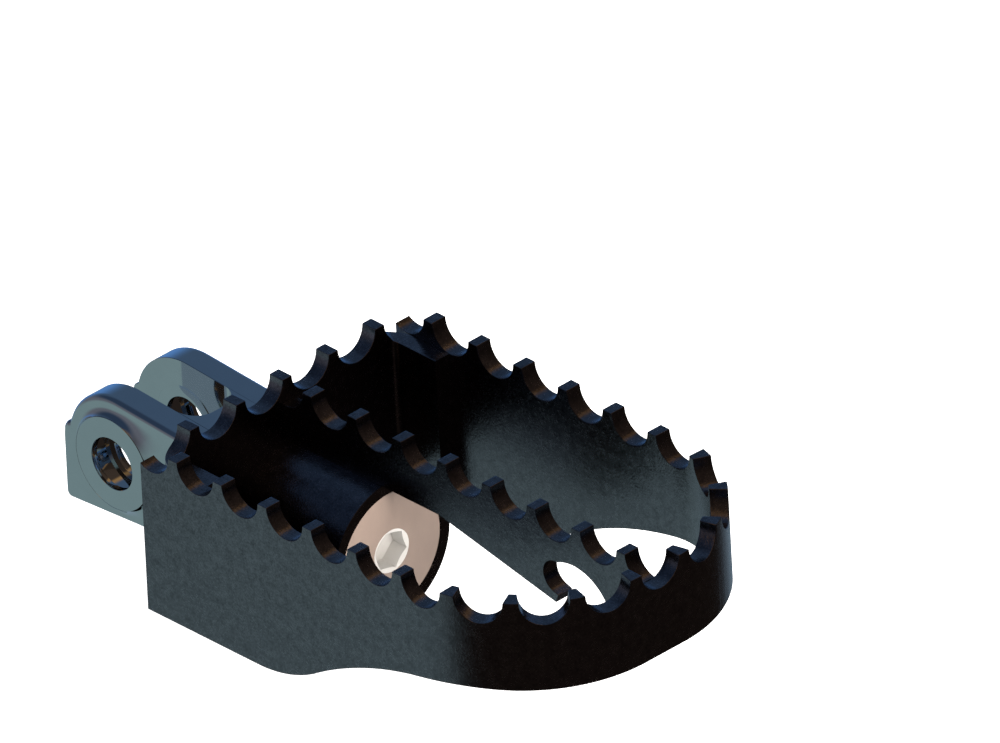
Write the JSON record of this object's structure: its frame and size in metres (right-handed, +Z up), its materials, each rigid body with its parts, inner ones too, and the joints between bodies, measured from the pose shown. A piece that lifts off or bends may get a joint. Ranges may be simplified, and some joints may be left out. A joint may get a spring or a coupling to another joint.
{
  "type": "motorcycle foot peg",
  "caption": "Wide off-road foot peg: a toothed hoop with a centre rib on a welded tube, swivelling slightly on the stem of a forged clevis hanger.",
  "frame": {"origin": "middle of the hanger's pivot bore, halfway between the two ears", "axes": "+X runs outward along the peg on the stem's axis, +Y lies along the pivot bore, +Z is up towards the teeth"},
  "size_m": [0.1243, 0.0582, 0.0351],
  "materials": {
    "black_coat": "satin black powder coat with a fine mottle",
    "hanger_steel": "smooth polished forging, cool grey",
    "bolt_steel": "satin, warm grey",
    "bronze": "plain turned bearing bronze",
    "spring_steel": "dull hardened steel",
    "seal_rubber": "matte black"
  },
  "bodies": {
    "hanger": {"hanger": "hanger_steel", "front_ear_bush": "hanger_steel", "rear_ear_bush": "hanger_steel", "inner_thrust_washer": "bronze", "stop_pins": "spring_steel", "return_spring": "spring_steel", "outer_thrust_washer": "bronze", "retaining_bolt": "bolt_steel", "head_seal": "seal_rubber"},
    "platform": {"hoop_band": "black_coat", "cross_channel": "black_coat", "centre_rib": "black_coat", "bearing_tube": "black_coat", "inner_bush": "bronze", "outer_bush": "bronze", "inner_seal": "seal_rubber", "tube_weld": "black_coat", "flange_welds": "black_coat", "rib_welds": "black_coat"}
  },
  "joints": [
    {"name": "platform_tilt", "type": "hinge", "parent": "hanger", "child": "platform", "pos_m": [0.0387, 0, 0], "axis": [1, 0, 0], "range_deg": [-10, 10], "stiffness_Nm_per_rad": 6, "deforming": ["return_spring"]}
  ]
}
